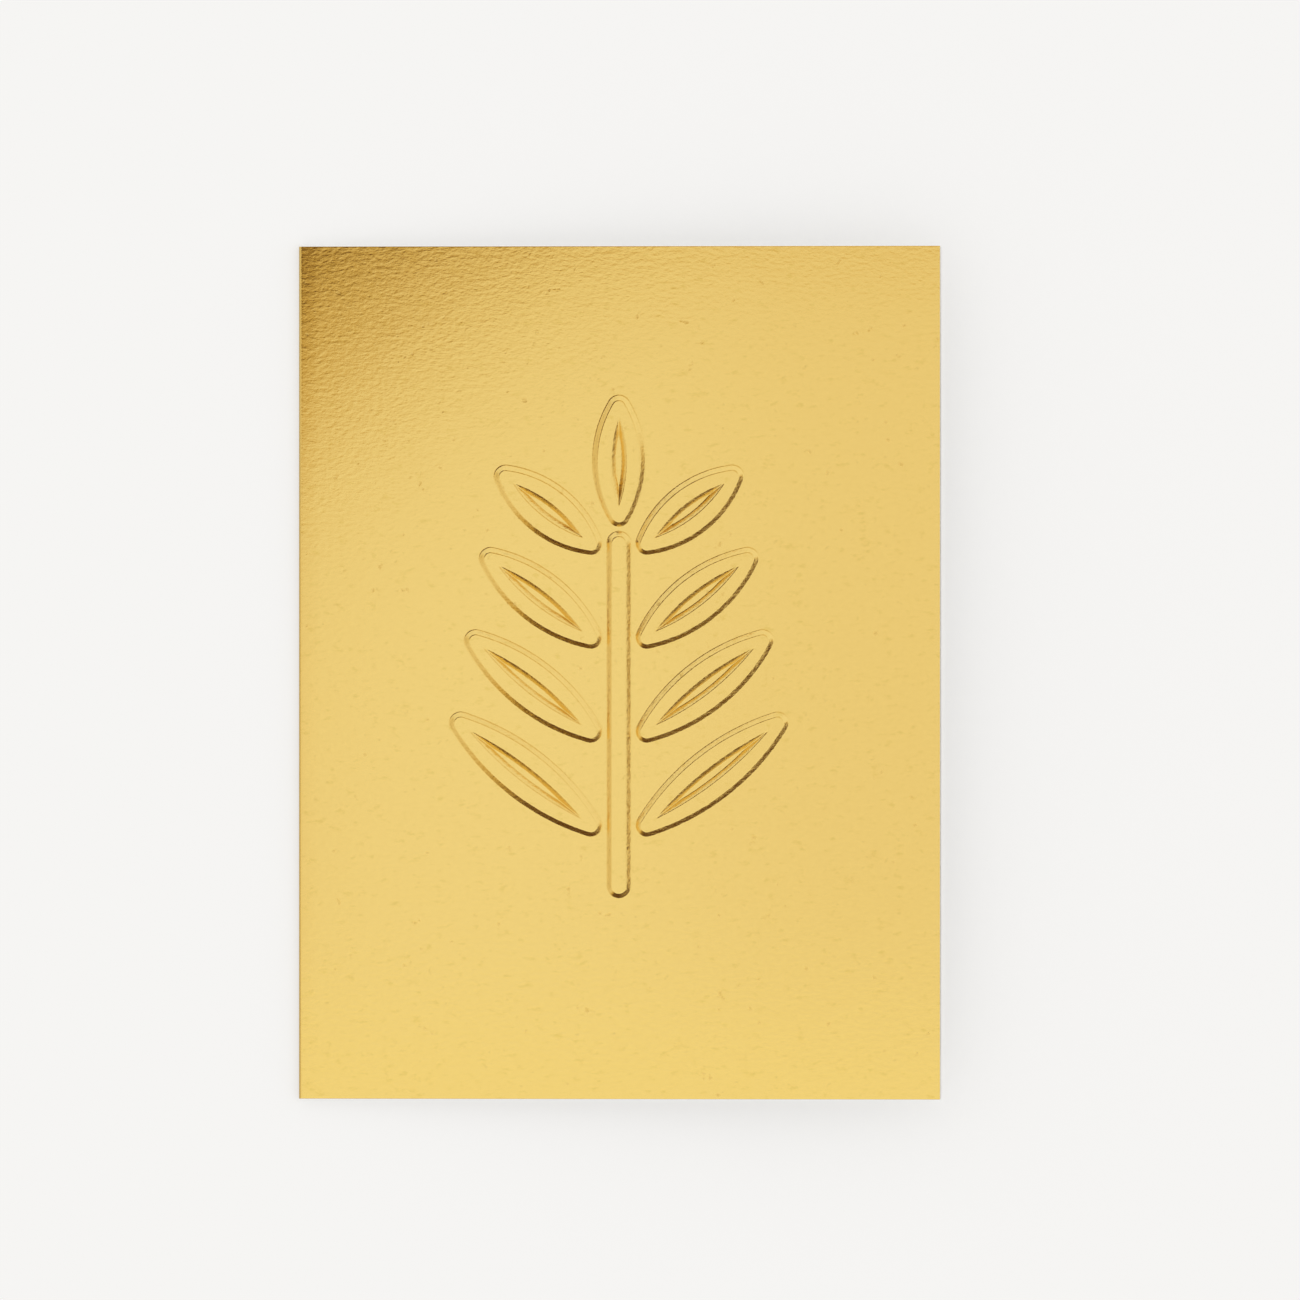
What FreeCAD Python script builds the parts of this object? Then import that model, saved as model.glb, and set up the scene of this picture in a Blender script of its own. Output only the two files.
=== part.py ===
"""A small folded greeting card with a blind-embossed leaf sprig on its front.

The card is one sheet of foil-faced board, scored and folded once along its left side. It lies
closed on its back leaf, and the fold springs the front leaf up by a few degrees. The sprig is
pressed through the front leaf: it stands proud outside and is hollow by as much inside, so the
board keeps its thickness. X runs across the card from the fold to the fore-edge, Y up the card
and Z out of its front. The origin is in the middle of the back leaf, on the face it lies on.
"""

import FreeCAD
import Part

import math
import os

# The sheet, in millimetres and degrees
CARD_WIDTH = 90.0
CARD_HEIGHT = 119.4
BOARD_THICKNESS = 0.42
FOLD_INNER_RADIUS = 0.2
SPRING_ANGLE = 4.0

# The relief: how far it stands proud, and the width of the slope round it
EMBOSS_HEIGHT = 0.6
SHOULDER_WIDTH = 0.72

# The sprig: its overall height, and how far its middle lies above the card's middle
SPRIG_HEIGHT = 69.0
SPRIG_RISE = 3.6
LEAF_PAIRS = 4
LEAF_ANGLE = 52.0
LEAF_WIDTH = 6.0
LEAF_TIP_RADIUS = 0.9
LOWEST_LEAF_LENGTH = 25.0
HIGHEST_LEAF_LENGTH = 17.0
CROWN_LEAF_LENGTH = 17.0
RIB_WIDTH = 2.2
RIB_END_MARGIN = 2.2
STEM_WIDTH = 2.0
STALK_LENGTH = 9.5
BUD_GAP = 0.6

FOLD_OUTER_RADIUS = FOLD_INNER_RADIUS + BOARD_THICKNESS
LEAF_FLAT_WIDTH = CARD_WIDTH - FOLD_OUTER_RADIUS


def point(x, y, z=0.0):
    """A point or a direction, in millimetres."""
    return FreeCAD.Vector(x, y, z)


def almond_outline(length, width, tip_radius, grow, z):
    """A closed almond along X with round tips, offset outwards by grow, at height z."""
    half_length = length / 2
    half_width = width / 2
    tip_centre = half_length - tip_radius
    side_radius = (tip_centre**2 + half_width**2 - tip_radius**2) / (2 * (half_width - tip_radius))
    side_centre = side_radius - half_width
    share = (side_radius + grow) / (side_radius - tip_radius)
    tangent_x = tip_centre * share
    tangent_y = side_centre * share - side_centre
    tip_x = half_length + grow
    side_y = half_width + grow
    corners = {
        "upper_left": point(-tangent_x, tangent_y, z),
        "upper_right": point(tangent_x, tangent_y, z),
        "lower_right": point(tangent_x, -tangent_y, z),
        "lower_left": point(-tangent_x, -tangent_y, z),
    }
    arcs = [
        Part.Arc(corners["upper_left"], point(0, side_y, z), corners["upper_right"]),
        Part.Arc(corners["upper_right"], point(tip_x, 0, z), corners["lower_right"]),
        Part.Arc(corners["lower_right"], point(0, -side_y, z), corners["lower_left"]),
        Part.Arc(corners["lower_left"], point(-tip_x, 0, z), corners["upper_left"]),
    ]
    return Part.Wire([arc.toShape() for arc in arcs])


def lens_outline(length, width, grow, z):
    """A closed lens along X with pointed ends, its two arcs offset outwards by grow, at height z."""
    half_length = length / 2
    half_width = width / 2
    side_radius = (half_length**2 + half_width**2) / (2 * half_width)
    side_centre = side_radius - half_width
    side_y = half_width + grow
    tip_x = math.sqrt((side_radius + grow) ** 2 - side_centre**2)
    arcs = [
        Part.Arc(point(-tip_x, 0, z), point(0, side_y, z), point(tip_x, 0, z)),
        Part.Arc(point(tip_x, 0, z), point(0, -side_y, z), point(-tip_x, 0, z)),
    ]
    return Part.Wire([arc.toShape() for arc in arcs])


def stem_outline(length, width, grow, z):
    """A closed straight stem along X with round ends, offset outwards by grow, at height z."""
    end_x = length / 2 - width / 2
    side_y = width / 2 + grow
    tip_x = length / 2 + grow
    edges = [
        Part.LineSegment(point(-end_x, side_y, z), point(end_x, side_y, z)),
        Part.Arc(point(end_x, side_y, z), point(tip_x, 0, z), point(end_x, -side_y, z)),
        Part.LineSegment(point(end_x, -side_y, z), point(-end_x, -side_y, z)),
        Part.Arc(point(-end_x, -side_y, z), point(-tip_x, 0, z), point(-end_x, side_y, z)),
    ]
    return Part.Wire([edge.toShape() for edge in edges])


def sloped_block(lower_outline, upper_outline):
    """A closed solid whose sides slope straight from one outline to the other."""
    return Part.makeLoft([lower_outline, upper_outline], True, True)


def raised_stem(length):
    """The stem's relief along X, centred on the origin, from the sheet's face up."""
    return sloped_block(
        stem_outline(length, STEM_WIDTH, SHOULDER_WIDTH, 0.0),
        stem_outline(length, STEM_WIDTH, 0.0, EMBOSS_HEIGHT),
    )


def raised_leaf(length):
    """One leaf's relief along X with the groove of its midrib, which runs out at both ends."""
    blade = sloped_block(
        almond_outline(length, LEAF_WIDTH, LEAF_TIP_RADIUS, SHOULDER_WIDTH, 0.0),
        almond_outline(length, LEAF_WIDTH, LEAF_TIP_RADIUS, 0.0, EMBOSS_HEIGHT),
    )
    rib_length = length - 2 * RIB_END_MARGIN
    groove = sloped_block(
        lens_outline(rib_length, RIB_WIDTH, -SHOULDER_WIDTH, 0.0),
        lens_outline(rib_length, RIB_WIDTH, 0.0, EMBOSS_HEIGHT),
    )
    return blade.cut(groove)


def placed(shape, x, y, turn_degrees):
    """A copy of a flat-lying shape turned about Z, with its centre at x, y."""
    moved = shape.copy()
    moved.Placement = FreeCAD.Placement(point(x, y), FreeCAD.Rotation(point(0, 0, 1), turn_degrees))
    return moved


def sprig_reliefs():
    """Every raised shape of the sprig, about the sprig's middle, standing on z = 0."""
    sprig_bottom = -SPRIG_HEIGHT / 2
    crown_bottom = SPRIG_HEIGHT / 2 - CROWN_LEAF_LENGTH
    stem_gap = 2 * SHOULDER_WIDTH + BUD_GAP
    stem_top = crown_bottom - stem_gap
    stem_length = stem_top - sprig_bottom
    reliefs = [
        placed(raised_stem(stem_length), 0.0, (stem_top + sprig_bottom) / 2, 90.0),
        placed(raised_leaf(CROWN_LEAF_LENGTH), 0.0, crown_bottom + CROWN_LEAF_LENGTH / 2, 90.0),
    ]

    lowest_bud = sprig_bottom + STALK_LENGTH
    highest_bud = stem_top - STEM_WIDTH / 2
    bud_x = STEM_WIDTH / 2 + stem_gap + LEAF_TIP_RADIUS
    lean = math.radians(LEAF_ANGLE)
    for pair in range(LEAF_PAIRS):
        share = pair / (LEAF_PAIRS - 1)
        length = LOWEST_LEAF_LENGTH + share * (HIGHEST_LEAF_LENGTH - LOWEST_LEAF_LENGTH)
        bud_y = lowest_bud + share * (highest_bud - lowest_bud)
        bud_to_middle = length / 2 - LEAF_TIP_RADIUS
        middle_x = bud_x + bud_to_middle * math.sin(lean)
        middle_y = bud_y + bud_to_middle * math.cos(lean)
        for side in (-1, 1):
            turn = 90.0 - side * LEAF_ANGLE
            reliefs.append(placed(raised_leaf(length), side * middle_x, middle_y, turn))
    return reliefs


def folded_sheet():
    """The bare sheet: the back leaf, the round fold and the sprung front leaf."""
    spring = math.radians(SPRING_ANGLE)
    along = point(math.cos(spring), 0, math.sin(spring))
    outward = point(-math.sin(spring), 0, math.cos(spring))
    fold_centre = point(FOLD_OUTER_RADIUS - CARD_WIDTH / 2, 0, FOLD_OUTER_RADIUS)
    side_on = point(-math.cos(spring / 2), 0, math.sin(spring / 2))
    down = point(0, 0, -1)
    across = point(LEAF_FLAT_WIDTH, 0, 0)

    back_outer = fold_centre + down * FOLD_OUTER_RADIUS
    back_inner = fold_centre + down * FOLD_INNER_RADIUS
    front_outer = fold_centre + outward * FOLD_OUTER_RADIUS
    front_inner = fold_centre + outward * FOLD_INNER_RADIUS
    outer_bend = fold_centre + side_on * FOLD_OUTER_RADIUS
    inner_bend = fold_centre + side_on * FOLD_INNER_RADIUS

    edges = [
        Part.LineSegment(back_outer + across, back_outer),
        Part.Arc(back_outer, outer_bend, front_outer),
        Part.LineSegment(front_outer, front_outer + along * LEAF_FLAT_WIDTH),
        Part.LineSegment(front_outer + along * LEAF_FLAT_WIDTH, front_inner + along * LEAF_FLAT_WIDTH),
        Part.LineSegment(front_inner + along * LEAF_FLAT_WIDTH, front_inner),
        Part.Arc(front_inner, inner_bend, back_inner),
        Part.LineSegment(back_inner, back_inner + across),
        Part.LineSegment(back_inner + across, back_outer + across),
    ]
    profile = Part.Face(Part.Wire([edge.toShape() for edge in edges]))
    profile.translate(point(0, -CARD_HEIGHT / 2, 0))
    return profile.extrude(point(0, CARD_HEIGHT, 0))


def on_front_leaf(shape, lift):
    """A copy of a flat-lying shape, set on the front leaf at lift above the fold's axis."""
    fold_x = FOLD_OUTER_RADIUS - CARD_WIDTH / 2
    leaf_middle = CARD_WIDTH / 2 - FOLD_OUTER_RADIUS
    tilt = FreeCAD.Placement(
        point(fold_x, 0, FOLD_OUTER_RADIUS),
        FreeCAD.Rotation(point(0, 1, 0), -SPRING_ANGLE),
    )
    seat = FreeCAD.Placement(point(leaf_middle, SPRIG_RISE, lift), FreeCAD.Rotation())
    moved = shape.copy()
    moved.Placement = tilt.multiply(seat).multiply(shape.Placement)
    return moved


def greeting_card():
    """The whole card, one solid: the folded sheet with the sprig pressed through it."""
    reliefs = sprig_reliefs()
    proud = [on_front_leaf(relief, FOLD_OUTER_RADIUS) for relief in reliefs]
    hollow = [on_front_leaf(relief, FOLD_INNER_RADIUS) for relief in reliefs]
    return folded_sheet().fuse(proud).cut(hollow).removeSplitter()


def main():
    """Write the card as the part's one STEP file."""
    os.makedirs("parts", exist_ok=True)
    card = greeting_card()
    solid = card.Solids[0]
    print("solids", len(card.Solids), "valid", card.isValid(), "faces", len(card.Faces))
    print("volume", round(card.Volume, 2), "box", card.BoundBox)
    solid.exportStep("parts/card.step")


main()
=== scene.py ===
"""Dresses a folded greeting card: gold foil board, a pressed leaf sprig and a white inside.

One mesh stands for the card's solid. It is made as the card is: a flat sheet, the sprig pressed
through it, its cut edges, and last the fold. Lengths are in metres. X runs from the fold to the
fore-edge, Y up the card and Z out of its front.
"""

import logging
import math
from collections.abc import Iterable, Mapping, Sequence
from dataclasses import dataclass
from enum import Enum
from typing import Any, Protocol

import bmesh
import bpy
from bmesh.types import BMEdge, BMesh, BMFace, BMVert
from bpy.types import Material, Node, NodeSocket, NodeTree, Object
from mathutils import Matrix, Vector


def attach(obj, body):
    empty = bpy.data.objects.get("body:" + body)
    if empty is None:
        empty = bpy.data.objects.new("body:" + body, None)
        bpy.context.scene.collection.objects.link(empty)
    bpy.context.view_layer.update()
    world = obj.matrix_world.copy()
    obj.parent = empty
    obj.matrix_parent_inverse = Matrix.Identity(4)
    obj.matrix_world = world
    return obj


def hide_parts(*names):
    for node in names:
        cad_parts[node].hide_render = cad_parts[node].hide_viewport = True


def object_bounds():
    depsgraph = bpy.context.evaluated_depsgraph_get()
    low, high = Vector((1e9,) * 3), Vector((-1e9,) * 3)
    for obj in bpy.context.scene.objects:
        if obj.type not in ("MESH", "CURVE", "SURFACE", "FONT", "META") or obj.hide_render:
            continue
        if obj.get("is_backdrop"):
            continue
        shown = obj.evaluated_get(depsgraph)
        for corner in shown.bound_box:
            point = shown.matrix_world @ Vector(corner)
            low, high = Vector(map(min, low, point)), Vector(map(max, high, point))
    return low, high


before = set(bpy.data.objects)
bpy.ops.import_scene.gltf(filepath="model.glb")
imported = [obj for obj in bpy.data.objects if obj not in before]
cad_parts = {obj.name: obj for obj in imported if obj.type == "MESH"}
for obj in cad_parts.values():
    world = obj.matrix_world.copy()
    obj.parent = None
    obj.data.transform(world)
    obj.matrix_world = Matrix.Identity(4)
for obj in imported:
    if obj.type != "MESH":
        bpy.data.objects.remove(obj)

log = logging.getLogger("greeting_card")

MM = 0.001
MICRON = 0.000001
UP = Vector((0.0, 0.0, 1.0))

# A Mix node has sockets of its own for numbers, vectors and colours. These are the colours' ones.
MIX_FIRST_COLOUR = 6
MIX_SECOND_COLOUR = 7
MIX_RESULT_COLOUR = 2

Colour = tuple[float, float, float, float]


class Coat(Enum):
    """The card's material slots, in their order on the mesh."""

    FOIL = 0
    INSIDE = 1
    CUT_EDGE = 2


class Side(Enum):
    """The two sides of the stem."""

    LEFT = -1
    RIGHT = 1


def arc(centre: Vector, radius: float, start: float, sweep: float, steps: int) -> list[Vector]:
    """Points along an arc in the sheet's plane, without its last one.

    Args:
        centre: The arc's centre.
        radius: Its radius.
        start: The angle of its first point, in radians.
        sweep: The angle that it turns through.
        steps: How many points it gets.

    Returns:
        The points in their order.
    """
    angles = [start + sweep * step / steps for step in range(steps)]
    return [centre + radius * Vector((math.cos(angle), math.sin(angle), 0.0)) for angle in angles]


def spread(first: float, last: float, steps: int) -> list[float]:
    """Even values from first towards last, without the last one."""
    return [first + (last - first) * step / steps for step in range(steps)]


class Outline(Protocol):
    """A closed outline along X, centred on the origin."""

    def ring(self, grow: float) -> list[Vector]:
        """The outline's points, anticlockwise, offset outwards by grow."""


@dataclass(frozen=True)
class Almond:
    """A leaf's outline: two long arcs and a round tip at each end."""

    length: float
    width: float
    tip_radius: float
    side_steps: int = 40
    tip_steps: int = 14

    def ring(self, grow: float) -> list[Vector]:
        """The outline, offset outwards.

        Args:
            grow: How far outwards it is offset.

        Returns:
            Its points, anticlockwise from the lower end of the right tip.
        """
        half_width = self.width / 2
        tip_centre = Vector((self.length / 2 - self.tip_radius, 0.0, 0.0))
        spare = tip_centre.x**2 + half_width**2 - self.tip_radius**2
        side_radius = spare / (2 * (half_width - self.tip_radius))
        side_centre = Vector((0.0, side_radius - half_width, 0.0))
        lean = math.atan2(side_centre.y, tip_centre.x)
        tip = self.tip_radius + grow
        side = side_radius + grow
        side_turn = math.pi - 2 * lean
        return (
            arc(tip_centre, tip, -lean, 2 * lean, self.tip_steps)
            + arc(-side_centre, side, lean, side_turn, self.side_steps)
            + arc(-tip_centre, tip, math.pi - lean, 2 * lean, self.tip_steps)
            + arc(side_centre, side, math.pi + lean, side_turn, self.side_steps)
        )


@dataclass(frozen=True)
class Lens:
    """A midrib's outline: two arcs that meet in a point at each end."""

    length: float
    width: float
    steps: int = 36

    def ring(self, grow: float) -> list[Vector]:
        """The outline, offset outwards.

        Args:
            grow: How far outwards it is offset.

        Returns:
            Its points, anticlockwise from the right end.
        """
        half_length = self.length / 2
        half_width = self.width / 2
        side = (half_length**2 + half_width**2) / self.width
        centre = Vector((0.0, side - half_width, 0.0))
        radius = side + grow
        half_turn = math.acos(centre.y / radius)
        quarter = math.pi / 2
        upper = arc(-centre, radius, quarter - half_turn, 2 * half_turn, self.steps)
        lower = arc(centre, radius, 3 * quarter - half_turn, 2 * half_turn, self.steps)
        return upper + lower


@dataclass(frozen=True)
class Rod:
    """The stem's outline: straight sides and round ends."""

    length: float
    width: float
    side_steps: int = 60
    end_steps: int = 18

    def ring(self, grow: float) -> list[Vector]:
        """The outline, offset outwards.

        Args:
            grow: How far outwards it is offset.

        Returns:
            Its points, anticlockwise from the lower end of the right round.
        """
        radius = self.width / 2 + grow
        end = self.length / 2 - self.width / 2
        end_centre = Vector((end, 0.0, 0.0))
        quarter = math.pi / 2
        return (
            arc(end_centre, radius, -quarter, math.pi, self.end_steps)
            + [Vector((x, radius, 0.0)) for x in spread(end, -end, self.side_steps)]
            + arc(-end_centre, radius, quarter, math.pi, self.end_steps)
            + [Vector((x, -radius, 0.0)) for x in spread(-end, end, self.side_steps)]
        )


@dataclass(frozen=True)
class Shoulder:
    """The pressed slope from a relief's flat top down to the bare board.

    Distances are measured outwards from the relief's nominal edge. The slope rounds over the rim,
    runs straight down the face and dies away over a soft toe.
    """

    height: float
    rim: float
    face: float
    toe: float
    flat_margin: float = 0.03 * MM
    rim_steps: int = 5
    face_steps: int = 2
    toe_steps: int = 6

    def distances(self) -> list[float]:
        """Where the slope's rings lie, closest together where it turns.

        Returns:
            Their distances, from the flat top out to the bare board.
        """
        over_rim = spread(-self.rim, self.rim, self.rim_steps)
        down_face = spread(self.rim, self.face, self.face_steps)
        over_toe = spread(self.face, self.toe, self.toe_steps)
        slope = over_rim + down_face + over_toe
        return [-self.rim - self.flat_margin] + slope + [self.toe, self.toe + self.flat_margin]

    def height_at(self, distance: float) -> float:
        """The slope's height at one distance.

        Args:
            distance: How far outside the relief's edge it is wanted.

        Returns:
            The height above the bare board.
        """
        rim_run = min(max(distance + self.rim, 0.0), 2 * self.rim)
        face_run = min(max(distance - self.rim, 0.0), self.face - self.rim)
        toe_length = self.toe - self.face
        toe_run = min(max(distance - self.face, 0.0), toe_length)
        toe_turn = math.pi * toe_run / toe_length
        toe_drop = toe_run / 2 + math.sin(toe_turn) * toe_length / (2 * math.pi)
        drop = rim_run**2 / (4 * self.rim) + face_run + toe_drop
        return self.height * (1 - drop / (self.face + toe_length / 2))


class FlatMesh:
    """The card's outer face as it lies flat, while it is drawn and pressed."""

    def __init__(self) -> None:
        """Starts an empty mesh with the layer that numbers each ring's vertices."""
        self.mesh: BMesh = bmesh.new()
        self.ring_step = self.mesh.verts.layers.int.new("ring_step")

    def first_ring(self, points: Sequence[Vector], height: float, seat: Matrix) -> list[BMEdge]:
        """Draws a closed ring of edges through points.

        Args:
            points: The ring's points in the outline's own frame.
            height: Their height above the bare board.
            seat: Where the outline lies on the sheet.

        Returns:
            The ring's edges.
        """
        count = len(points)
        made = bmesh.ops.create_circle(self.mesh, cap_ends=False, segments=count, radius=1.0)
        for vert in made["verts"]:
            turn = math.atan2(vert.co.y, vert.co.x) / (2 * math.pi)
            vert[self.ring_step] = round(turn * count) % count
        self._place(made["verts"], points, height, seat)
        return list(dict.fromkeys(edge for vert in made["verts"] for edge in vert.link_edges))

    def next_ring(
        self, ring: Iterable[BMEdge], points: Sequence[Vector], height: float, seat: Matrix
    ) -> list[BMEdge]:
        """Draws the next ring from the last one, with a strip of faces between them.

        Args:
            ring: The last ring's edges.
            points: The new ring's points, as many as the last one had.
            height: Their height above the bare board.
            seat: Where the outline lies on the sheet.

        Returns:
            The new ring's edges.
        """
        made = bmesh.ops.extrude_edge_only(self.mesh, edges=list(ring))["geom"]
        self._place([item for item in made if isinstance(item, BMVert)], points, height, seat)
        return [item for item in made if isinstance(item, BMEdge)]

    def _place(
        self, verts: Iterable[BMVert], points: Sequence[Vector], height: float, seat: Matrix
    ) -> None:
        """Puts each vertex of a ring at its own point."""
        for vert in verts:
            vert.co = seat @ points[vert[self.ring_step]] + UP * height

    def rings(
        self, outline: Outline, levels: Sequence[tuple[float, float]], seat: Matrix
    ) -> tuple[list[BMEdge], list[BMEdge]]:
        """Draws an outline's rings, one for each pair of growth and height.

        Args:
            outline: The outline.
            levels: The growth and height of each ring, in their order.
            seat: Where the outline lies on the sheet.

        Returns:
            The first ring's edges and the last ring's edges.
        """
        (grow, height), *others = levels
        first = last = self.first_ring(outline.ring(grow), height, seat)
        for grow, height in others:
            last = self.next_ring(last, outline.ring(grow), height, seat)
        return first, last

    def fill(self, *loops: Iterable[BMEdge]) -> None:
        """Fills the flat space between closed loops with triangles."""
        edges = [edge for loop in loops for edge in loop]
        bmesh.ops.triangle_fill(
            self.mesh, edges=edges, use_beauty=True, use_dissolve=False, normal=UP
        )


@dataclass(frozen=True)
class Leaf:
    """One embossed leaf with the groove of its midrib."""

    length: float
    tip_radius: float
    seat: Matrix
    width: float = 6.0 * MM
    rib_width: float = 2.2 * MM
    rib_end_margin: float = 2.2 * MM

    def press(self, flat: FlatMesh, shoulder: Shoulder) -> list[BMEdge]:
        """Presses the leaf into the flat sheet.

        Args:
            flat: The sheet's mesh.
            shoulder: The slope round the leaf.

        Returns:
            The edges of the leaf's outer loop, on the bare board.
        """
        blade = Almond(self.length, self.width, self.tip_radius)
        rib = Lens(self.length - 2 * self.rib_end_margin, self.rib_width)
        blade_levels = [(run, shoulder.height_at(run)) for run in reversed(shoulder.distances())]
        rib_levels = [(-run, shoulder.height_at(run)) for run in shoulder.distances()]
        toe, blade_rim = flat.rings(blade, blade_levels, self.seat)
        rib_rim, floor = flat.rings(rib, rib_levels, self.seat)
        flat.fill(blade_rim, rib_rim)
        flat.fill(floor)
        return toe


@dataclass(frozen=True)
class Stem:
    """The sprig's straight stem."""

    length: float
    width: float
    seat: Matrix

    def press(self, flat: FlatMesh, shoulder: Shoulder) -> list[BMEdge]:
        """Presses the stem into the flat sheet.

        Args:
            flat: The sheet's mesh.
            shoulder: The slope round the stem.

        Returns:
            The edges of the stem's outer loop, on the bare board.
        """
        levels = [(run, shoulder.height_at(run)) for run in reversed(shoulder.distances())]
        toe, rim = flat.rings(Rod(self.length, self.width), levels, self.seat)
        flat.fill(rim)
        return toe


@dataclass(frozen=True)
class Sprig:
    """The embossed sprig: a stem, pairs of leaves and a crown leaf."""

    centre: Vector
    height: float = 69.0 * MM
    leaf_pairs: int = 4
    leaf_angle: float = math.radians(52.0)
    lowest_leaf: float = 25.0 * MM
    highest_leaf: float = 17.0 * MM
    crown_leaf: float = 17.0 * MM
    leaf_tip_radius: float = 0.9 * MM
    stem_width: float = 2.0 * MM
    stem_gap: float = 2.04 * MM
    stalk_length: float = 9.5 * MM
    shoulder: Shoulder = Shoulder(height=0.6 * MM, rim=0.1 * MM, face=0.58 * MM, toe=0.88 * MM)

    @property
    def bud_x(self) -> float:
        """How far from the stem's middle line a leaf's lower tip is centred."""
        return self.stem_width / 2 + self.stem_gap + self.leaf_tip_radius

    def seat(self, x: float, y: float, turn: float) -> Matrix:
        """Where a shape lies on the sheet, from its place in the sprig and its turn."""
        place = self.centre + Vector((x, y, 0.0))
        return Matrix.Translation(place) @ Matrix.Rotation(turn, 4, "Z")

    def shapes(self) -> list[Stem | Leaf]:
        """Sets out the sprig.

        Returns:
            The stem, the crown leaf and the pairs of leaves, from the lowest up.
        """
        bottom = -self.height / 2
        crown_bottom = self.height / 2 - self.crown_leaf
        stem_top = crown_bottom - self.stem_gap
        upright = math.pi / 2
        stem_seat = self.seat(0.0, (stem_top + bottom) / 2, upright)
        crown_seat = self.seat(0.0, crown_bottom + self.crown_leaf / 2, upright)
        shapes: list[Stem | Leaf] = [
            Stem(stem_top - bottom, self.stem_width, stem_seat),
            Leaf(self.crown_leaf, self.leaf_tip_radius, crown_seat),
        ]
        lowest_bud = bottom + self.stalk_length
        highest_bud = stem_top - self.stem_width / 2
        for pair in range(self.leaf_pairs):
            share = pair / (self.leaf_pairs - 1)
            length = self.lowest_leaf + share * (self.highest_leaf - self.lowest_leaf)
            bud_y = lowest_bud + share * (highest_bud - lowest_bud)
            reach = length / 2 - self.leaf_tip_radius
            x = self.bud_x + reach * math.sin(self.leaf_angle)
            y = bud_y + reach * math.cos(self.leaf_angle)
            for side in Side:
                seat = self.seat(side.value * x, y, upright - side.value * self.leaf_angle)
                shapes.append(Leaf(length, self.leaf_tip_radius, seat))
        return shapes

    def window(self) -> tuple[Vector, Vector]:
        """The stretch of the sheet that the sprig is pressed into.

        Returns:
            Its lowest and its highest corner.
        """
        leaf_reach = self.lowest_leaf * math.sin(self.leaf_angle)
        half_width = self.bud_x + leaf_reach + self.stem_width
        half_height = self.height / 2 + self.stem_width
        corner = Vector((half_width, half_height, 0.0))
        return self.centre - corner, self.centre + corner


@dataclass(frozen=True)
class Sheet:
    """The card's sheet, laid flat and folded.

    Flat coordinates run across the sheet, up it and out of its foil face. Across is 0 where the
    front leaf starts at the fold, grows to its fore-edge and is negative on the fold and the back.
    """

    width: float
    height: float
    thickness: float = 0.42 * MM
    inner_radius: float = 0.2 * MM
    spring: float = math.radians(4.0)

    @property
    def outer_radius(self) -> float:
        """The radius of the fold's foil face."""
        return self.inner_radius + self.thickness

    @property
    def leaf_width(self) -> float:
        """The width of a leaf's flat part."""
        return self.width - self.outer_radius

    @property
    def fold_length(self) -> float:
        """The length of the fold's foil face."""
        return (math.pi - self.spring) * self.outer_radius

    @property
    def back_edge(self) -> float:
        """Where the back leaf's fore-edge lies across the flat sheet."""
        return -self.fold_length - self.leaf_width

    def edge_distance(self, place: Vector) -> float:
        """How far a place on the flat sheet is from the nearest cut edge."""
        across = min(self.leaf_width - place.x, place.x - self.back_edge)
        return min(across, self.height / 2 - abs(place.y))

    def folded(self, place: Vector) -> Vector:
        """Where a place on the flat sheet lies once the card is folded and at rest.

        Args:
            place: The place in flat coordinates.

        Returns:
            The place in the card's own frame.
        """
        on_fold = min(max(-place.x, 0.0), self.fold_length)
        past_fold = -place.x - on_fold
        turn = self.spring + on_fold / self.outer_radius
        outward = Vector((-math.sin(turn), 0.0, math.cos(turn)))
        backward = Vector((-math.cos(turn), 0.0, -math.sin(turn)))
        axis = Vector((self.outer_radius - self.width / 2, place.y, self.outer_radius))
        return axis + outward * (self.outer_radius + place.z) + backward * past_fold


@dataclass(frozen=True)
class Grain:
    """Noise of one size in a finish, such as the board's tooth."""

    length: float
    detail: float = 2.0
    roughness: float = 0.5


@dataclass(frozen=True)
class Ramp:
    """A smooth step, from 0 at a low value to its rise at a high one."""

    low: float
    high: float
    rise: float = 1.0


@dataclass(frozen=True)
class Varying:
    """A number that varies over a surface. Python's operators on it add Math nodes."""

    shader: "Shader"
    socket: NodeSocket

    def _math(self, operation: str, first: Any, second: Any) -> "Varying":
        """The result of one Math node."""
        node = self.shader.node("ShaderNodeMath", {"operation": operation}, {0: first, 1: second})
        return Varying(self.shader, node.outputs[0])

    def __add__(self, other: Any) -> "Varying":
        """Self plus other."""
        return self._math("ADD", self, other)

    __radd__ = __add__

    def __sub__(self, other: Any) -> "Varying":
        """Self minus other."""
        return self._math("SUBTRACT", self, other)

    def __rsub__(self, other: Any) -> "Varying":
        """Other minus self."""
        return self._math("SUBTRACT", other, self)

    def __mul__(self, other: Any) -> "Varying":
        """Self times other."""
        return self._math("MULTIPLY", self, other)

    __rmul__ = __mul__

    def __neg__(self) -> "Varying":
        """Self with its sign changed."""
        return self._math("MULTIPLY", self, -1.0)

    def ramped(self, ramp: Ramp) -> "Varying":
        """Sends the number through a smooth step.

        Args:
            ramp: The step.

        Returns:
            The stepped number.
        """
        settings = {"interpolation_type": "SMOOTHSTEP"}
        ends = {"From Min": ramp.low, "From Max": ramp.high, "To Max": ramp.rise}
        node = self.shader.node("ShaderNodeMapRange", settings, {"Value": self, **ends})
        return Varying(self.shader, node.outputs["Result"])


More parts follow.
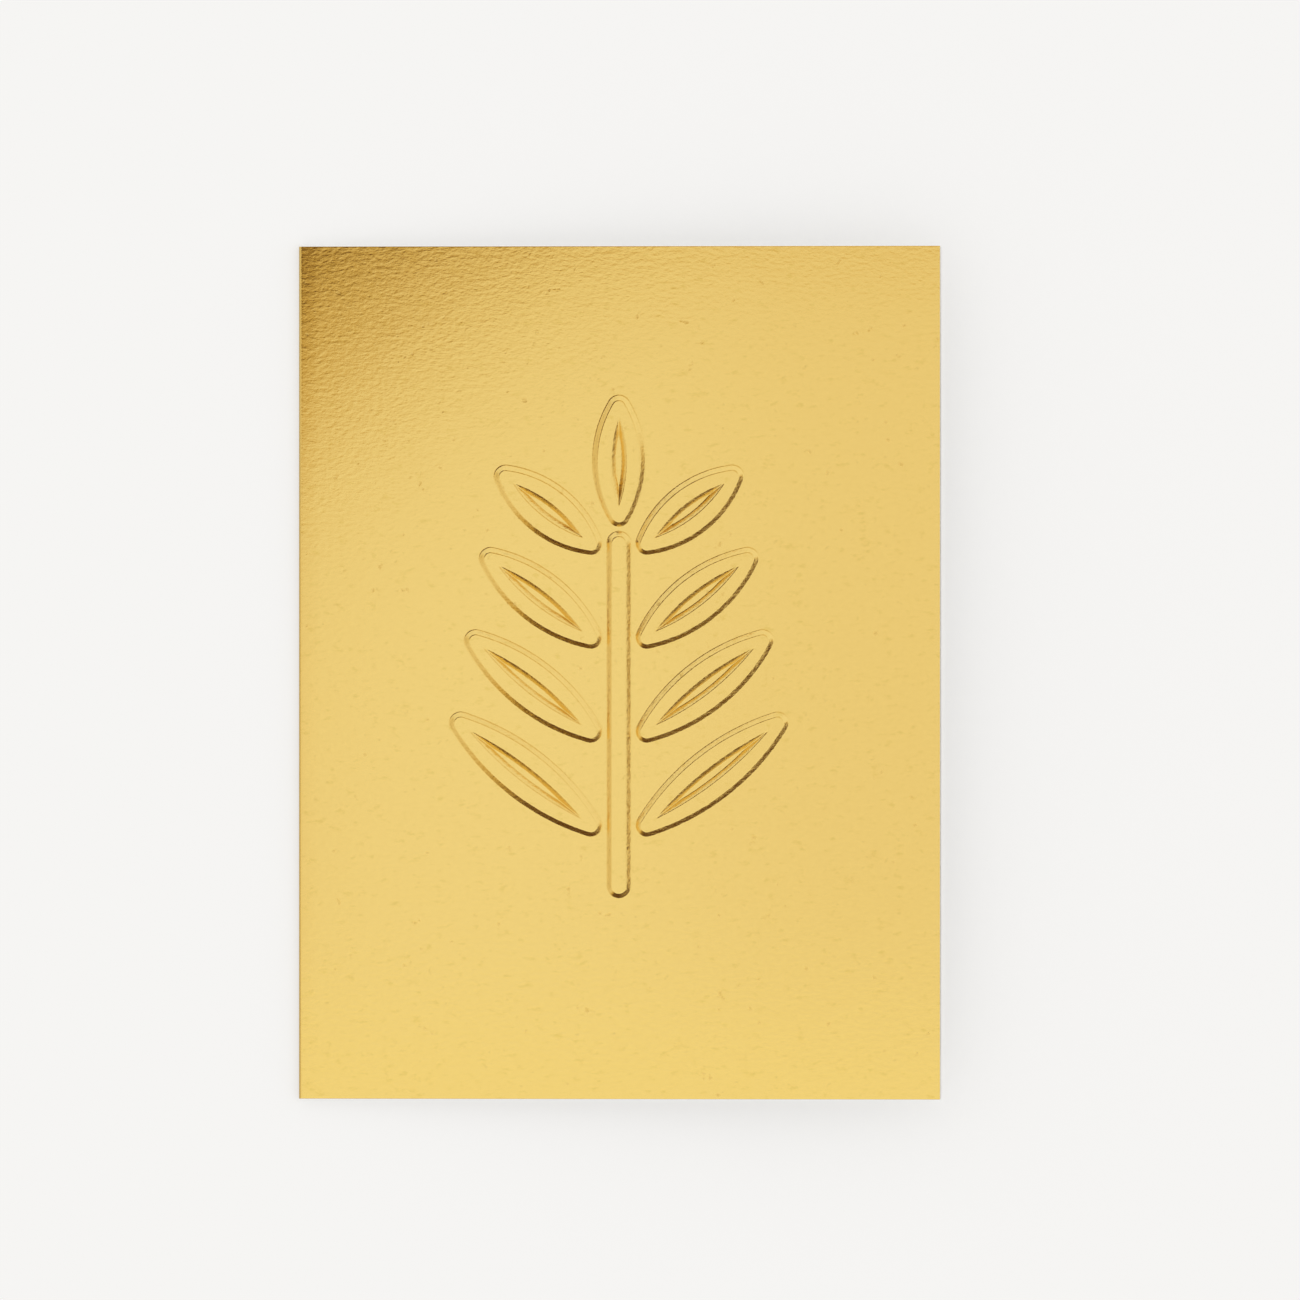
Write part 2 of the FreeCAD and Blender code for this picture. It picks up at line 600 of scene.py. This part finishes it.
class Shader:
    """A node tree that finishes are written into."""

    def __init__(self, tree: NodeTree) -> None:
        """Starts on an empty tree."""
        self.tree = tree
        self.tree.nodes.clear()

    def node(
        self,
        kind: str,
        settings: Mapping[str, Any] | None = None,
        sockets: Mapping[Any, Any] | None = None,
    ) -> Node:
        """Adds one node.

        Args:
            kind: The node's type.
            settings: Its settings, which are set before its sockets.
            sockets: The value or link of each socket, by its name or number.

        Returns:
            The node.
        """
        node = self.tree.nodes.new(kind)
        for name, value in (settings or {}).items():
            setattr(node, name, value)
        for name, value in (sockets or {}).items():
            source = value.socket if isinstance(value, Varying) else value
            if isinstance(source, NodeSocket):
                self.tree.links.new(source, node.inputs[name])
            else:
                node.inputs[name].default_value = source
        return node

    def place(self) -> NodeSocket:
        """The place that is shaded, in the object's own coordinates."""
        return self.node("ShaderNodeTexCoord").outputs["Object"]

    def stretched(self, stretch: Sequence[float] = (1.0, 1.0, 1.0)) -> NodeSocket:
        """The place that is shaded, for noise that is stretched along the axes."""
        sockets = {"Vector": self.place(), "Scale": tuple(1 / amount for amount in stretch)}
        return self.node("ShaderNodeMapping", {}, sockets).outputs[0]

    def axes(self, place: NodeSocket) -> list[Varying]:
        """A place's X, Y and Z as numbers."""
        outputs = self.node("ShaderNodeSeparateXYZ", {}, {0: place}).outputs
        return [Varying(self, output) for output in outputs]

    def distance(self, place: NodeSocket, point: Sequence[float]) -> Varying:
        """How far a place is from a fixed point."""
        node = self.node("ShaderNodeVectorMath", {"operation": "DISTANCE"}, {0: place, 1: point})
        return Varying(self, node.outputs["Value"])

    def noise(self, place: NodeSocket, grain: Grain) -> Varying:
        """Noise from 0 to 1.

        Args:
            place: Where it is read.
            grain: How long its grains are, and how fine and how rough they are inside.

        Returns:
            The noise.
        """
        texture = {"Detail": grain.detail, "Roughness": grain.roughness}
        sockets = {"Vector": place, "Scale": 1 / grain.length, **texture}
        return Varying(self, self.node("ShaderNodeTexNoise", {}, sockets).outputs["Fac"])

    def mixed(self, share: Any, first: Any, second: Any) -> NodeSocket:
        """A colour between two.

        Args:
            share: How much of the second colour there is, from 0 to 1.
            first: The first colour.
            second: The second colour.

        Returns:
            The mixed colour.
        """
        sockets = {"Factor": share, MIX_FIRST_COLOUR: first, MIX_SECOND_COLOUR: second}
        node = self.node("ShaderNodeMix", {"data_type": "RGBA"}, sockets)
        return node.outputs[MIX_RESULT_COLOUR]

    def bumped(self, height: Varying) -> NodeSocket:
        """The surface's direction, tilted by a fine relief whose height is given in microns."""
        sockets = {"Strength": 1.0, "Distance": MICRON, "Height": height}
        return self.node("ShaderNodeBump", {}, sockets).outputs[0]

    def glow(self, colour: Any) -> NodeSocket:
        """A surface that shows one colour, whatever the light."""
        return self.node("ShaderNodeEmission", {}, {"Color": colour, "Strength": 1.0}).outputs[0]

    def board(self, sockets: Mapping[str, Any]) -> NodeSocket:
        """A surface that takes the light as the sockets say."""
        return self.node("ShaderNodeBsdfPrincipled", {}, sockets).outputs[0]

    def either(self, share: Any, first: NodeSocket, second: NodeSocket) -> NodeSocket:
        """A surface that is the first where share is 0 and the second where it is 1."""
        return self.node("ShaderNodeMixShader", {}, {0: share, 1: first, 2: second}).outputs[0]

    def show(self, surface: NodeSocket) -> None:
        """Makes this surface the one that the material shows."""
        self.node("ShaderNodeOutputMaterial", {}, {"Surface": surface})


def shader_of(name: str) -> tuple[Material, Shader]:
    """Starts a material.

    Args:
        name: The material's name.

    Returns:
        The new material and its empty shader.
    """
    material = bpy.data.materials.new(name)
    material.use_nodes = True
    return material, Shader(material.node_tree)


def object_of(name: str, mesh: BMesh) -> Object:
    """Makes an object from a finished mesh and links it into the scene.

    Args:
        name: The object's name.
        mesh: The finished mesh, which is freed.

    Returns:
        The object.
    """
    data = bpy.data.meshes.new(name)
    mesh.to_mesh(data)
    mesh.free()
    made = bpy.data.objects.new(name, data)
    bpy.context.scene.collection.objects.link(made)
    return made


def panel_of(name: str, place: Matrix, material: Material) -> Object:
    """Makes a flat panel of the stage.

    Args:
        name: The panel's name.
        place: What moves and stretches a square of one metre into the panel.
        material: Its material.

    Returns:
        The panel.
    """
    mesh = bmesh.new()
    bmesh.ops.create_grid(mesh, x_segments=1, y_segments=1, size=0.5, matrix=place)
    panel = object_of(name, mesh)
    panel.data.materials.append(material)
    return panel


@dataclass(frozen=True)
class GoldFoil:
    """Satin gold foil on board: a warm metal film that follows the board's tooth.

    Heights and depths are in microns.
    """

    name: str = "gold_foil"
    gold: Colour = (0.872, 0.638, 0.207, 1.0)
    # Painted shade: the gold is a little darker in the valleys of the board's tooth.
    valley_painted_shade: Colour = (0.86, 0.626, 0.2, 1.0)
    fleck_gold: Colour = (0.81, 0.583, 0.167, 1.0)
    # The pits are real dents with rougher foil; their darker colour is painted shade in the dent.
    pit_painted_shade: Colour = (0.78, 0.545, 0.16, 1.0)
    roughness: float = 0.21
    tooth_roughness: float = 0.08
    pit_roughness: float = 0.1
    stretch: tuple[float, float, float] = (1.7, 1.0, 1.0)
    tooth: Grain = Grain(0.52 * MM, detail=2.5)
    tooth_tops: Ramp = Ramp(0.3, 0.7)
    tooth_height: float = 34.0
    fibre: Grain = Grain(0.22 * MM, detail=1.0)
    fibre_height: float = 7.0
    wave: Grain = Grain(9.0 * MM, detail=1.0)
    wave_height: float = 40.0
    fleck: Grain = Grain(0.9 * MM, detail=3.0, roughness=0.62)
    fleck_share: Ramp = Ramp(0.55, 0.76)
    pit: Grain = Grain(1.5 * MM, detail=2.0, roughness=0.6)
    pit_share: Ramp = Ramp(0.66, 0.8)
    pit_depth: float = 15.0

    def material(self) -> Material:
        """Writes the finish.

        Returns:
            Its new material.
        """
        material, shader = shader_of(self.name)
        along = shader.stretched(self.stretch)
        place = shader.stretched()
        tooth = shader.noise(along, self.tooth)
        fibre = shader.noise(along, self.fibre)
        wave = shader.noise(place, self.wave)
        flecks = shader.noise(along, self.fleck).ramped(self.fleck_share)
        pits = shader.noise(place, self.pit).ramped(self.pit_share)
        height = (
            tooth * self.tooth_height
            + fibre * self.fibre_height
            + wave * self.wave_height
            - pits * self.pit_depth
        )
        # Painted shade in the tooth's valleys: the gold darkens where the tooth is low.
        grain = shader.mixed(tooth.ramped(self.tooth_tops), self.valley_painted_shade, self.gold)
        flecked = shader.mixed(flecks, grain, self.fleck_gold)
        even_roughness = self.roughness - self.tooth_roughness / 2
        sockets = {
            # The pits' darker colour is painted shade; their depth and roughness are real.
            "Base Color": shader.mixed(pits, flecked, self.pit_painted_shade),
            "Metallic": 1.0,
            "Roughness": even_roughness + tooth * self.tooth_roughness + pits * self.pit_roughness,
            "Normal": shader.bumped(height),
        }
        shader.show(shader.board(sockets))
        return material


@dataclass(frozen=True)
class PlainBoard:
    """Uncoated white board with a faint tooth, for the inside and the cut edges.

    The fibre's height is in microns.
    """

    name: str
    white: Colour = (0.86, 0.85, 0.82, 1.0)
    shade: Colour = (0.80, 0.785, 0.75, 1.0)
    roughness: float = 0.85
    stretch: tuple[float, float, float] = (2.0, 1.0, 1.0)
    fibre: Grain = Grain(0.3 * MM, detail=3.0)
    fibre_height: float = 6.0
    cloud: Grain = Grain(3.0 * MM, detail=4.0)
    shaded: Ramp = Ramp(0.8, 1.2)

    def material(self) -> Material:
        """Writes the finish.

        Returns:
            Its new material.
        """
        material, shader = shader_of(self.name)
        fibre = shader.noise(shader.stretched(self.stretch), self.fibre)
        cloud = shader.noise(shader.stretched(), self.cloud)
        sockets = {
            "Base Color": shader.mixed((fibre + cloud).ramped(self.shaded), self.white, self.shade),
            "Roughness": self.roughness,
            "Normal": shader.bumped(fibre * self.fibre_height),
        }
        shader.show(shader.board(sockets))
        return material


@dataclass(frozen=True)
class GreetingCard:
    """The folded card as one closed mesh."""

    sheet: Sheet
    cell: float = 3.2 * MM
    fold_steps: int = 18
    sprig_rise: float = 3.6 * MM
    edge_round: float = 0.08 * MM
    edge_drop: float = 0.025 * MM
    inset_shares: tuple[float, float, float] = (0.35, 1.0, 1.5)

    def build(self) -> Object:
        """Makes the card: the flat sheet, the sprig, the cut edges and the fold.

        Returns:
            The card's object.
        """
        flat = FlatMesh()
        self._lay_sheet(flat.mesh)
        self._press_sprig(flat)
        self._round_edges(flat.mesh)
        self._thicken(flat.mesh)
        for vert in flat.mesh.verts:
            vert.co = self.sheet.folded(vert.co)
        bmesh.ops.recalc_face_normals(flat.mesh, faces=flat.mesh.faces[:])
        return object_of("foil_card", flat.mesh)

    def dress(self, piece: Object) -> None:
        """Gives the card its finishes and its place in the frame.

        Args:
            piece: The card's object.
        """
        finishes = {
            Coat.FOIL: GoldFoil(),
            Coat.INSIDE: PlainBoard("white_board"),
            Coat.CUT_EDGE: PlainBoard("cut_edge"),
        }
        for coat in Coat:
            piece.data.materials.append(finishes[coat].material())
        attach(piece, "root")
        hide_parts("card")

    @property
    def sprig(self) -> Sprig:
        """The sprig, in the middle of the front leaf and a little above the card's middle."""
        return Sprig(Vector((self.sheet.width / 2 - self.sheet.outer_radius, self.sprig_rise, 0.0)))

    @property
    def insets(self) -> list[float]:
        """How far inside its cut edges the sheet is ruled, for the dip of its foil there."""
        return [self.edge_round * share for share in self.inset_shares]

    def _lay_sheet(self, mesh: BMesh) -> None:
        """Lays the bare sheet flat, ruled at the fold, the cut edges and the sprig's window.

        Args:
            mesh: The mesh that it is laid in.
        """
        sheet = self.sheet
        length = sheet.leaf_width - sheet.back_edge
        columns = round(length / self.cell)
        rows = round(sheet.height / self.cell)
        bmesh.ops.create_grid(mesh, x_segments=columns, y_segments=rows, size=0.5)
        middle = Matrix.Translation(((sheet.leaf_width + sheet.back_edge) / 2, 0.0, 0.0))
        full_size = Matrix.Diagonal((length, sheet.height, 1.0, 1.0))
        bmesh.ops.transform(mesh, matrix=middle @ full_size, verts=mesh.verts[:])
        for x in self._lines_across():
            self._rule(mesh, Vector((x, 0.0, 0.0)), Vector((1.0, 0.0, 0.0)))
        for y in self._lines_upwards():
            self._rule(mesh, Vector((0.0, y, 0.0)), Vector((0.0, 1.0, 0.0)))

    def _lines_across(self) -> list[float]:
        """The lines that run up the sheet: the fold's, the window's and the fore-edges'.

        Returns:
            Where each of them lies across the sheet.
        """
        sheet = self.sheet
        low, high = self.sprig.window()
        fold_steps = range(self.fold_steps + 1)
        fold = [-sheet.fold_length * step / self.fold_steps for step in fold_steps]
        front_edge = [sheet.leaf_width - inset for inset in self.insets]
        back_edge = [sheet.back_edge + inset for inset in self.insets]
        return fold + [low.x, high.x] + front_edge + back_edge

    def _lines_upwards(self) -> list[float]:
        """The lines that run across the sheet: the window's, and those near its foot and head.

        Returns:
            Where each of them lies up the sheet.
        """
        low, high = self.sprig.window()
        head = self.sheet.height / 2
        lines = [low.y, high.y]
        for inset in self.insets:
            lines += [inset - head, head - inset]
        return lines

    @staticmethod
    def _rule(mesh: BMesh, place: Vector, across: Vector) -> None:
        """Cuts the flat sheet's faces along one straight line."""
        geometry = mesh.verts[:] + mesh.edges[:] + mesh.faces[:]
        bmesh.ops.bisect_plane(mesh, geom=geometry, dist=MICRON, plane_co=place, plane_no=across)

    def _press_sprig(self, flat: FlatMesh) -> None:
        """Opens the sprig's window, presses the sprig and closes the board round it.

        Args:
            flat: The sheet's mesh.
        """
        low, high = self.sprig.window()
        inside = [face for face in flat.mesh.faces if self._within(face, low, high)]
        edges = dict.fromkeys(edge for face in inside for edge in face.edges)
        opened = set(inside)
        rim = [edge for edge in edges if not opened.issuperset(edge.link_faces)]
        bmesh.ops.delete(flat.mesh, geom=inside, context="FACES_KEEP_BOUNDARY")
        toes = [shape.press(flat, self.sprig.shoulder) for shape in self.sprig.shapes()]
        flat.fill(rim, *toes)

    @staticmethod
    def _within(face: BMFace, low: Vector, high: Vector) -> bool:
        """Whether the middle of a face of the flat sheet lies between two corners."""
        middle = face.calc_center_median()
        return low.x < middle.x < high.x and low.y < middle.y < high.y

    def _round_edges(self, mesh: BMesh) -> None:
        """Lets the foil face dip a little at the cut edges, where the blade pressed it.

        Args:
            mesh: The flat sheet's mesh.
        """
        for vert in mesh.verts:
            inset = min(self.sheet.edge_distance(vert.co) / self.edge_round, 1.0)
            vert.co.z -= self.edge_drop * (1 - inset) ** 2

    def _thicken(self, mesh: BMesh) -> None:
        """Gives the sheet its thickness: white board under the foil, and its cut edges.

        Args:
            mesh: The flat sheet's mesh.
        """
        foil = mesh.faces[:]
        made = bmesh.ops.extrude_face_region(mesh, geom=foil, use_keep_orig=True)["geom"]
        down = Vector((0.0, 0.0, -self.sheet.thickness))
        lowered = [item for item in made if isinstance(item, BMVert)]
        bmesh.ops.translate(mesh, vec=down, verts=lowered)
        coats = dict.fromkeys(foil, Coat.FOIL)
        coats.update((item, Coat.INSIDE) for item in made if isinstance(item, BMFace))
        for face in mesh.faces:
            coat = coats.get(face, Coat.CUT_EDGE)
            face.material_index = coat.value
            face.smooth = coat is not Coat.CUT_EDGE


@dataclass(frozen=True)
class Room:
    """The colours that a room shows in the foil, from its daylight to its darkest side."""

    daylight: Colour = (1.0, 1.0, 1.0, 1.0)
    amber: Colour = (0.7, 0.5, 0.165, 1.0)
    deep: Colour = (0.08, 0.022, 0.001, 1.0)
    to_amber: Ramp = Ramp(0.0, 0.55)
    to_deep: Ramp = Ramp(0.4, 0.85)

    def colour(self, shader: Shader, dark: Varying) -> NodeSocket:
        """The colour at a darkness from 0 to 1, amber half way."""
        warm = shader.mixed(dark.ramped(self.to_amber), self.daylight, self.amber)
        return shader.mixed(dark.ramped(self.to_deep), warm, self.deep)


@dataclass(frozen=True)
class Ceiling:
    """A low ceiling over the card, seen only in the foil, with one dark spot.

    The spot's edge is measured outwards from its middle. The other ramps run towards the side that
    they are named for. The room grows darker along them, but over the card's foot it glows.
    """

    room: Room
    height: float = 120.0 * MM
    low: tuple[float, float] = (-260.0 * MM, -75.0 * MM)
    high: tuple[float, float] = (120.0 * MM, 260.0 * MM)
    spot: tuple[float, float] = (-87.0 * MM, 109.0 * MM)
    spot_edge: Ramp = Ramp(36.0 * MM, 100.0 * MM)
    spot_dark: float = 0.57
    right: Ramp = Ramp(-40.0 * MM, 15.0 * MM, 0.134)
    left: Ramp = Ramp(49.0 * MM, 73.0 * MM, 0.15)
    top: Ramp = Ramp(58.0 * MM, 78.0 * MM, 0.26)
    far_left: Ramp = Ramp(105.0 * MM, 145.0 * MM, 0.45)
    far_left_top: Ramp = Ramp(20.0 * MM, 60.0 * MM)
    foot: Ramp = Ramp(40.0 * MM, 62.0 * MM)
    glow: Colour = (1.032, 1.025, 0.89, 1.0)

    def build(self) -> None:
        """Makes the ceiling as part of the stage."""
        (low_x, low_y), (high_x, high_y) = self.low, self.high
        middle = Matrix.Translation(((low_x + high_x) / 2, (low_y + high_y) / 2, self.height))
        size = Matrix.Diagonal((high_x - low_x, high_y - low_y, 1.0, 1.0))
        ceiling = panel_of("ceiling", middle @ size, self._light())
        ceiling.visible_camera = False
        ceiling.visible_diffuse = False
        ceiling.visible_shadow = False
        ceiling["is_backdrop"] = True

    def _light(self) -> Material:
        """The ceiling's own light, warm over the card's foot and dark over its top left corner.

        Returns:
            Its new material.
        """
        material, shader = shader_of("ceiling_light")
        place = shader.place()
        x, y, _ = shader.axes(place)
        from_spot = shader.distance(place, (*self.spot, self.height))
        corner = (1 - from_spot.ramped(self.spot_edge)) * self.spot_dark
        sides = x.ramped(self.right) + (-x).ramped(self.left)
        far_left = (-x).ramped(self.far_left) * y.ramped(self.far_left_top)
        dark = corner + sides + y.ramped(self.top) + far_left
        foot = (-y).ramped(self.foot)
        colour = shader.mixed(foot, self.room.colour(shader, dark), self.glow)
        shader.show(shader.glow(colour))
        return material


@dataclass(frozen=True)
class Studio:
    """The pale floor, the soft light and the camera that looks straight down.

    The ramps say in which directions the foil mirrors a darker room: towards the front or the fold,
    and up to a certain height. They are measured on a direction of length 1.
    """

    room: Room = Room()
    front_turn: float = 0.46
    front: Ramp = Ramp(0.0, 0.7)
    front_height: Ramp = Ramp(0.28, 0.46)
    fold: Ramp = Ramp(0.7, 0.98, 0.25)
    fold_height: Ramp = Ramp(0.45, 0.8)
    backdrop: Colour = (0.921, 0.913, 0.897, 1.0)
    floor_size: float = 6.0
    floor_depth: float = 0.02 * MM
    floor_in_foil: Colour = (0.6, 0.55, 0.44, 1.0)
    shadow_fill: float = 0.5
    photo_width: float = 1300.0
    photo_scale: float = 7.133 / MM
    card_middle: tuple[float, float] = (620.16, 672.61)
    camera_height: float = 3.0
    sensor: float = 36.0

    def build(self) -> None:
        """Makes the floor, the ceiling, the world's light and the camera."""
        self._floor()
        Ceiling(self.room).build()
        self._light()
        self._camera()

    def _floor(self) -> None:
        """Lays a plain pale floor just under the card."""
        below = Matrix.Translation((0.0, 0.0, -self.floor_depth))
        size = Matrix.Diagonal((self.floor_size, self.floor_size, 1.0, 1.0))
        floor = panel_of("floor", below @ size, self._paper())
        floor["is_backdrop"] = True

    def _paper(self) -> Material:
        """The floor's paper, which lifts the card's shadow and looks warmer in the foil.

        Returns:
            Its new material.
        """
        material, shader = shader_of("floor_paper")
        paper = shader.node("ShaderNodeBsdfDiffuse", {}, {"Color": self.backdrop}).outputs[0]
        rays = shader.node("ShaderNodeLightPath").outputs
        seen = Varying(shader, rays["Is Camera Ray"]) * self.shadow_fill
        plain = shader.either(seen, paper, shader.glow(self.backdrop))
        in_foil = shader.glow(self.floor_in_foil)
        shader.show(shader.either(rays["Is Glossy Ray"], plain, in_foil))
        return material

    def _light(self) -> None:
        """White light all round, and for metal a studio that is warm and dark low at the front."""
        world = bpy.data.worlds.new("studio")
        bpy.context.scene.world = world
        world.use_nodes = True
        world.cycles.sampling_method = "NONE"
        shader = Shader(world.node_tree)
        direction = shader.node("ShaderNodeTexCoord").outputs["Generated"]
        x, y, z = shader.axes(direction)
        towards_front = (x * self.front_turn - y).ramped(self.front)
        towards_fold = (-x).ramped(self.fold)
        low_front = towards_front * (1 - z.ramped(self.front_height))
        low_fold = towards_fold * (1 - z.ramped(self.fold_height))
        room = self.room.colour(shader, low_front + low_fold)
        rays = shader.node("ShaderNodeLightPath").outputs
        seen_by_metal = shader.mixed(rays["Is Glossy Ray"], self.room.daylight, room)
        seen = shader.mixed(rays["Is Camera Ray"], seen_by_metal, self.backdrop)
        light = shader.node("ShaderNodeBackground", {}, {"Color": seen, "Strength": 1.0})
        shader.node("ShaderNodeOutputWorld", {}, {"Surface": light.outputs[0]})

    def _camera(self) -> None:
        """Sets a long lens straight above, so that the card fills the frame as in the photo."""
        middle_x, middle_y = self.card_middle
        half = self.photo_width / 2
        lens_x = (half - middle_x) / self.photo_scale
        lens_y = (middle_y - half) / self.photo_scale
        data = bpy.data.cameras.new("camera")
        data.sensor_width = self.sensor
        data.lens = self.sensor * self.camera_height * self.photo_scale / self.photo_width
        data.clip_end = 2 * self.camera_height
        camera = bpy.data.objects.new("camera", data)
        camera.location = (lens_x, lens_y, self.camera_height)
        bpy.context.scene.collection.objects.link(camera)
        bpy.context.scene.camera = camera


def main() -> None:
    """Builds the card and the studio, and reports each piece."""
    logging.basicConfig(level=logging.INFO, format="%(name)s: %(message)s")
    cad_low, cad_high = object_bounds()
    size = cad_high - cad_low
    card = GreetingCard(Sheet(width=size.x, height=size.y))
    piece = card.build()
    card.dress(piece)
    log.info("%s: %d faces", piece.name, len(piece.data.polygons))

    Studio().build()
    bpy.context.scene.view_settings.view_transform = "Standard"
    log.info("studio: floor, light and camera")


if __name__ == "__main__":
    main()
